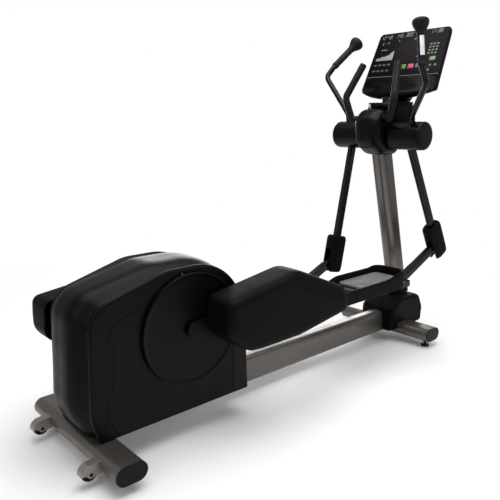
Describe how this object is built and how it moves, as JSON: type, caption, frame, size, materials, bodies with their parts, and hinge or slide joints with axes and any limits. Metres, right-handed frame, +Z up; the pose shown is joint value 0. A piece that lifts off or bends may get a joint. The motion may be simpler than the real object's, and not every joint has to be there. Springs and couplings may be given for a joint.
{
  "type": "elliptical trainer",
  "caption": "Rear-drive elliptical cross-trainer with swinging handle arms, foot levers riding on cranks, a shrouded belt drive and an upright console.",
  "frame": {"origin": "on the floor, midway along the length and width of the machine", "axes": "+X forward to the console, +Y to the left of a rider facing the console, +Z up"},
  "size_m": [2.1645, 0.7503, 1.6045],
  "materials": {
    "arm_paint": "gloss black paint",
    "bearing": "ground steel",
    "belt": "ribbed rubber belt",
    "black_shroud": "fine-textured black moulding",
    "bracket_zinc": "metallic grey powder coat",
    "bush": "self-lubricating acetal",
    "console_black": "gloss black panel",
    "end_cap": "satin dark grey moulding",
    "frame_paint": "satin titanium grey-brown paint",
    "gloss_black": "gloss black moulding",
    "key_blue": "translucent blue key",
    "key_green": "translucent green key",
    "key_red": "translucent red key",
    "pedal_rubber": "textured mid-grey rubber",
    "pulley": "turned aluminium",
    "rubber": "soft black rubber",
    "satin_black": "satin charcoal moulding",
    "sensor": "bare stainless contact strip",
    "steel": "turned steel"
  },
  "bodies": {
    "frame": {"accessory_tray": "gloss_black", "alternator_belt": "belt", "alternator_housing": "pulley", "arm_bushes": "bush", "base_cover": "satin_black", "console_back": "satin_black", "console_face": "console_black", "console_neck": "satin_black", "crank_bearings": "bearing", "crank_carrier": "arm_paint", "drive_belt": "belt", "fixed_handles": "rubber", "front_stabiliser": "frame_paint", "head_cover": "gloss_black", "levelling_feet": "rubber", "main_rail": "frame_paint", "mast": "frame_paint", "mast_collar": "satin_black", "pivot_shaft": "steel", "reading_rack": "gloss_black", "rear_stabiliser": "frame_paint", "shroud_front_cap": "end_cap", "shroud_shell": "black_shroud", "shroud_sides": "black_shroud", "stabiliser_caps": "end_cap", "wheel_axles": "steel", "wheel_brackets": "bracket_zinc"},
    "crank": {"crank_axle": "steel", "drive_pulley": "pulley", "crank_discs": "black_shroud", "crank_arms": "arm_paint", "crank_pins": "steel"},
    "intermediate": {"intermediate_pulley": "pulley"},
    "rotor": {"alternator_rotor": "steel"},
    "wheel_left": {"transport_wheel_left": "black_shroud"},
    "arm_left": {"arm_tube_left": "arm_paint", "handle_tube_left": "arm_paint", "grip_left": "rubber", "pulse_sensor_left": "sensor", "hub_cover_left": "gloss_black", "boot_left": "satin_black"},
    "lever_left": {"lever_tube_left": "arm_paint", "lever_cover_left": "satin_black", "pedal_tray_left": "satin_black", "pedal_pad_left": "pedal_rubber"},
    "wheel_right": {"transport_wheel_right": "black_shroud"},
    "arm_right": {"arm_tube_right": "arm_paint", "handle_tube_right": "arm_paint", "grip_right": "rubber", "pulse_sensor_right": "sensor", "hub_cover_right": "gloss_black", "boot_right": "satin_black"},
    "lever_right": {"lever_tube_right": "arm_paint", "lever_cover_right": "satin_black", "pedal_tray_right": "satin_black", "pedal_pad_right": "pedal_rubber"},
    "button_start": {"key_start": "key_green"},
    "button_stop": {"key_stop": "key_red"},
    "button_cool": {"key_cool": "key_blue"},
    "button_enter": {"key_enter": "key_green"}
  },
  "joints": [
    {"name": "right_arm_swing", "type": "hinge", "parent": "frame", "child": "arm_right", "pos_m": [0.685, 0, 1.086], "axis": [0, 1, 0], "range_deg": [0, 40.86]},
    {"name": "left_arm_swing", "type": "hinge", "parent": "frame", "child": "arm_left", "pos_m": [0.685, 0, 1.086], "axis": [0, 1, 0], "range_deg": [-40.87, 0]},
    {"name": "right_lever_pivot", "type": "hinge", "parent": "arm_right", "child": "lever_right", "pos_m": [1.00252, 0, 0.51082], "axis": [0, 1, 0], "range_deg": [-39.1, 0]},
    {"name": "left_lever_pivot", "type": "hinge", "parent": "arm_left", "child": "lever_left", "pos_m": [0.54887, 0, 0.44326], "axis": [0, 1, 0], "range_deg": [0, 39.1]},
    {"name": "crank_spin", "type": "hinge", "parent": "frame", "child": "crank", "pos_m": [-0.605, 0, 0.423], "axis": [0, 1, 0], "range_deg": [0, 180.05]},
    {"name": "intermediate_spin", "type": "hinge", "parent": "frame", "child": "intermediate", "pos_m": [-0.833, 0, 0.29], "axis": [0, 1, 0], "range_deg": [0, 900.1]},
    {"name": "rotor_spin", "type": "hinge", "parent": "frame", "child": "rotor", "pos_m": [-0.888, 0, 0.48], "axis": [0, 1, 0], "range_deg": [0, 2250.2]},
    {"name": "left_wheel_spin", "type": "hinge", "parent": "frame", "child": "wheel_left", "pos_m": [-1.049, 0.192, 0.051], "axis": [0, 1, 0], "continuous": true},
    {"name": "right_wheel_spin", "type": "hinge", "parent": "frame", "child": "wheel_right", "pos_m": [-1.049, -0.192, 0.051], "axis": [0, 1, 0], "continuous": true},
    {"name": "start_press", "type": "slide", "parent": "frame", "child": "button_start", "axis": [0.9107, 0, -0.4131], "range_m": [0, 0.0012], "stiffness_N_per_m": 800, "springref_m": -0.0005},
    {"name": "stop_press", "type": "slide", "parent": "frame", "child": "button_stop", "axis": [0.9107, 0, -0.4131], "range_m": [0, 0.0012], "stiffness_N_per_m": 800, "springref_m": -0.0005},
    {"name": "cool_press", "type": "slide", "parent": "frame", "child": "button_cool", "axis": [0.9107, 0, -0.4131], "range_m": [0, 0.0012], "stiffness_N_per_m": 800, "springref_m": -0.0005},
    {"name": "enter_press", "type": "slide", "parent": "frame", "child": "button_enter", "axis": [0.9107, 0, -0.4131], "range_m": [0, 0.0012], "stiffness_N_per_m": 800, "springref_m": -0.0005}
  ],
  "couplings": [
    {"joint": "left_arm_swing", "follows": "right_arm_swing", "ratio": -1},
    {"joint": "right_lever_pivot", "follows": "right_arm_swing", "ratio": -0.95665},
    {"joint": "left_lever_pivot", "follows": "right_arm_swing", "ratio": 0.95665},
    {"joint": "crank_spin", "follows": "right_arm_swing", "ratio": 4.4054},
    {"joint": "intermediate_spin", "follows": "right_arm_swing", "ratio": 22.027},
    {"joint": "rotor_spin", "follows": "right_arm_swing", "ratio": 55.068}
  ]
}
